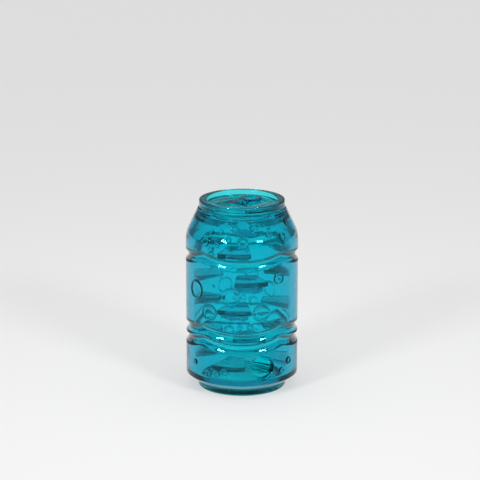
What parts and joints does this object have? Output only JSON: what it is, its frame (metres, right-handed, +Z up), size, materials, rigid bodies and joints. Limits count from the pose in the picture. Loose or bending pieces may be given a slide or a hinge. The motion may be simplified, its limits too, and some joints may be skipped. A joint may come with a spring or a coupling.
{
  "type": "pet treat dispenser",
  "caption": "Clear teal rubber dog toy in the shape of a drinks can, with a plug-in lid, soft ring pull, treat port and inner fins.",
  "frame": {"origin": "on the ground, at the centre of the foot ring", "axes": "+Z up along the axis of the can, -Y towards the front, which has the treat port to its right"},
  "size_m": [0.066, 0.0676, 0.113],
  "materials": {
    "clear_rubber": "clear teal thermoplastic rubber, glossy as moulded",
    "fin_rubber": "clear teal thermoplastic rubber, satin as moulded"
  },
  "bodies": {
    "can": {"can_body": "clear_rubber", "base_cap": "clear_rubber", "fin_front_1": "fin_rubber", "fin_front_2": "fin_rubber", "fin_front_3": "fin_rubber", "fin_front_4": "fin_rubber", "fin_front_5": "fin_rubber", "fin_right_1": "fin_rubber", "fin_right_2": "fin_rubber", "fin_right_3": "fin_rubber", "fin_right_4": "fin_rubber", "fin_right_5": "fin_rubber", "fin_back_1": "fin_rubber", "fin_back_2": "fin_rubber", "fin_back_3": "fin_rubber", "fin_back_4": "fin_rubber", "fin_back_5": "fin_rubber", "fin_left_1": "fin_rubber", "fin_left_2": "fin_rubber", "fin_left_3": "fin_rubber", "fin_left_4": "fin_rubber", "fin_left_5": "fin_rubber"},
    "lid": {"top_lid": "clear_rubber", "tab_rivet": "fin_rubber"},
    "ring_pull": {"pull_tab": "fin_rubber"}
  },
  "joints": [
    {"name": "lid_lift", "type": "slide", "parent": "can", "child": "lid", "axis": [0, 0, 1], "range_m": [0, 0.03]},
    {"name": "tab_flex", "type": "hinge", "parent": "lid", "child": "ring_pull", "pos_m": [0.00144, 0.00192, 0.11117], "axis": [0.7986, -0.6018, 0], "range_deg": [0, 60], "stiffness_Nm_per_rad": 0.001}
  ]
}
